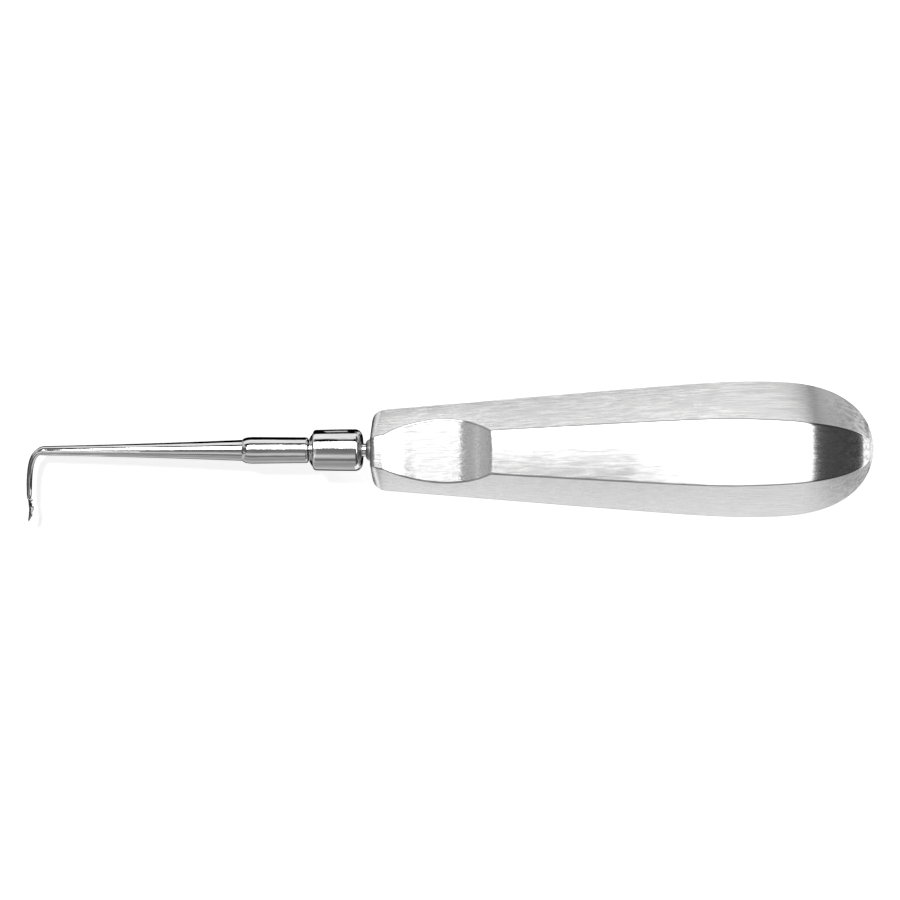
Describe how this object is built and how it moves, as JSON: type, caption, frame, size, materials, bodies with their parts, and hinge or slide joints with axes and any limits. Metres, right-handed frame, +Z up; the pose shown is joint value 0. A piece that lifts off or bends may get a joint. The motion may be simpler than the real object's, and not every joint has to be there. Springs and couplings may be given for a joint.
{
  "type": "dental elevator",
  "caption": "Hollow-handled steel dental elevator with thumb rests, a ferrule, a tapered shank and a small right-angled cupped blade for lifting root tips.",
  "frame": {"origin": "middle of the handle's lower flat, which the instrument lies on, straight under the tool axis", "axes": "+X towards the butt of the handle and -X towards the blade, +Z up from the lower flat, and the blade turned towards -Y"},
  "size_m": [0.1599, 0.0263, 0.0215],
  "materials": {
    "polished_steel": "mirror-polished stainless steel",
    "ferrule_steel": "mirror-polished stainless steel",
    "satin_steel": "fine lengthwise brushed stainless steel",
    "weld_steel": "weld metal ground flush and brushed with the shells",
    "turned_steel": "turned stainless steel",
    "braze": "silver brazing metal"
  },
  "bodies": {
    "root": {"shank_and_blade": "polished_steel", "ferrule": "ferrule_steel", "braze_bead": "braze", "tang_socket": "turned_steel", "tang_pin": "turned_steel", "upper_shell": "satin_steel", "lower_shell": "satin_steel", "seam_weld": "weld_steel"}
  },
  "joints": []
}
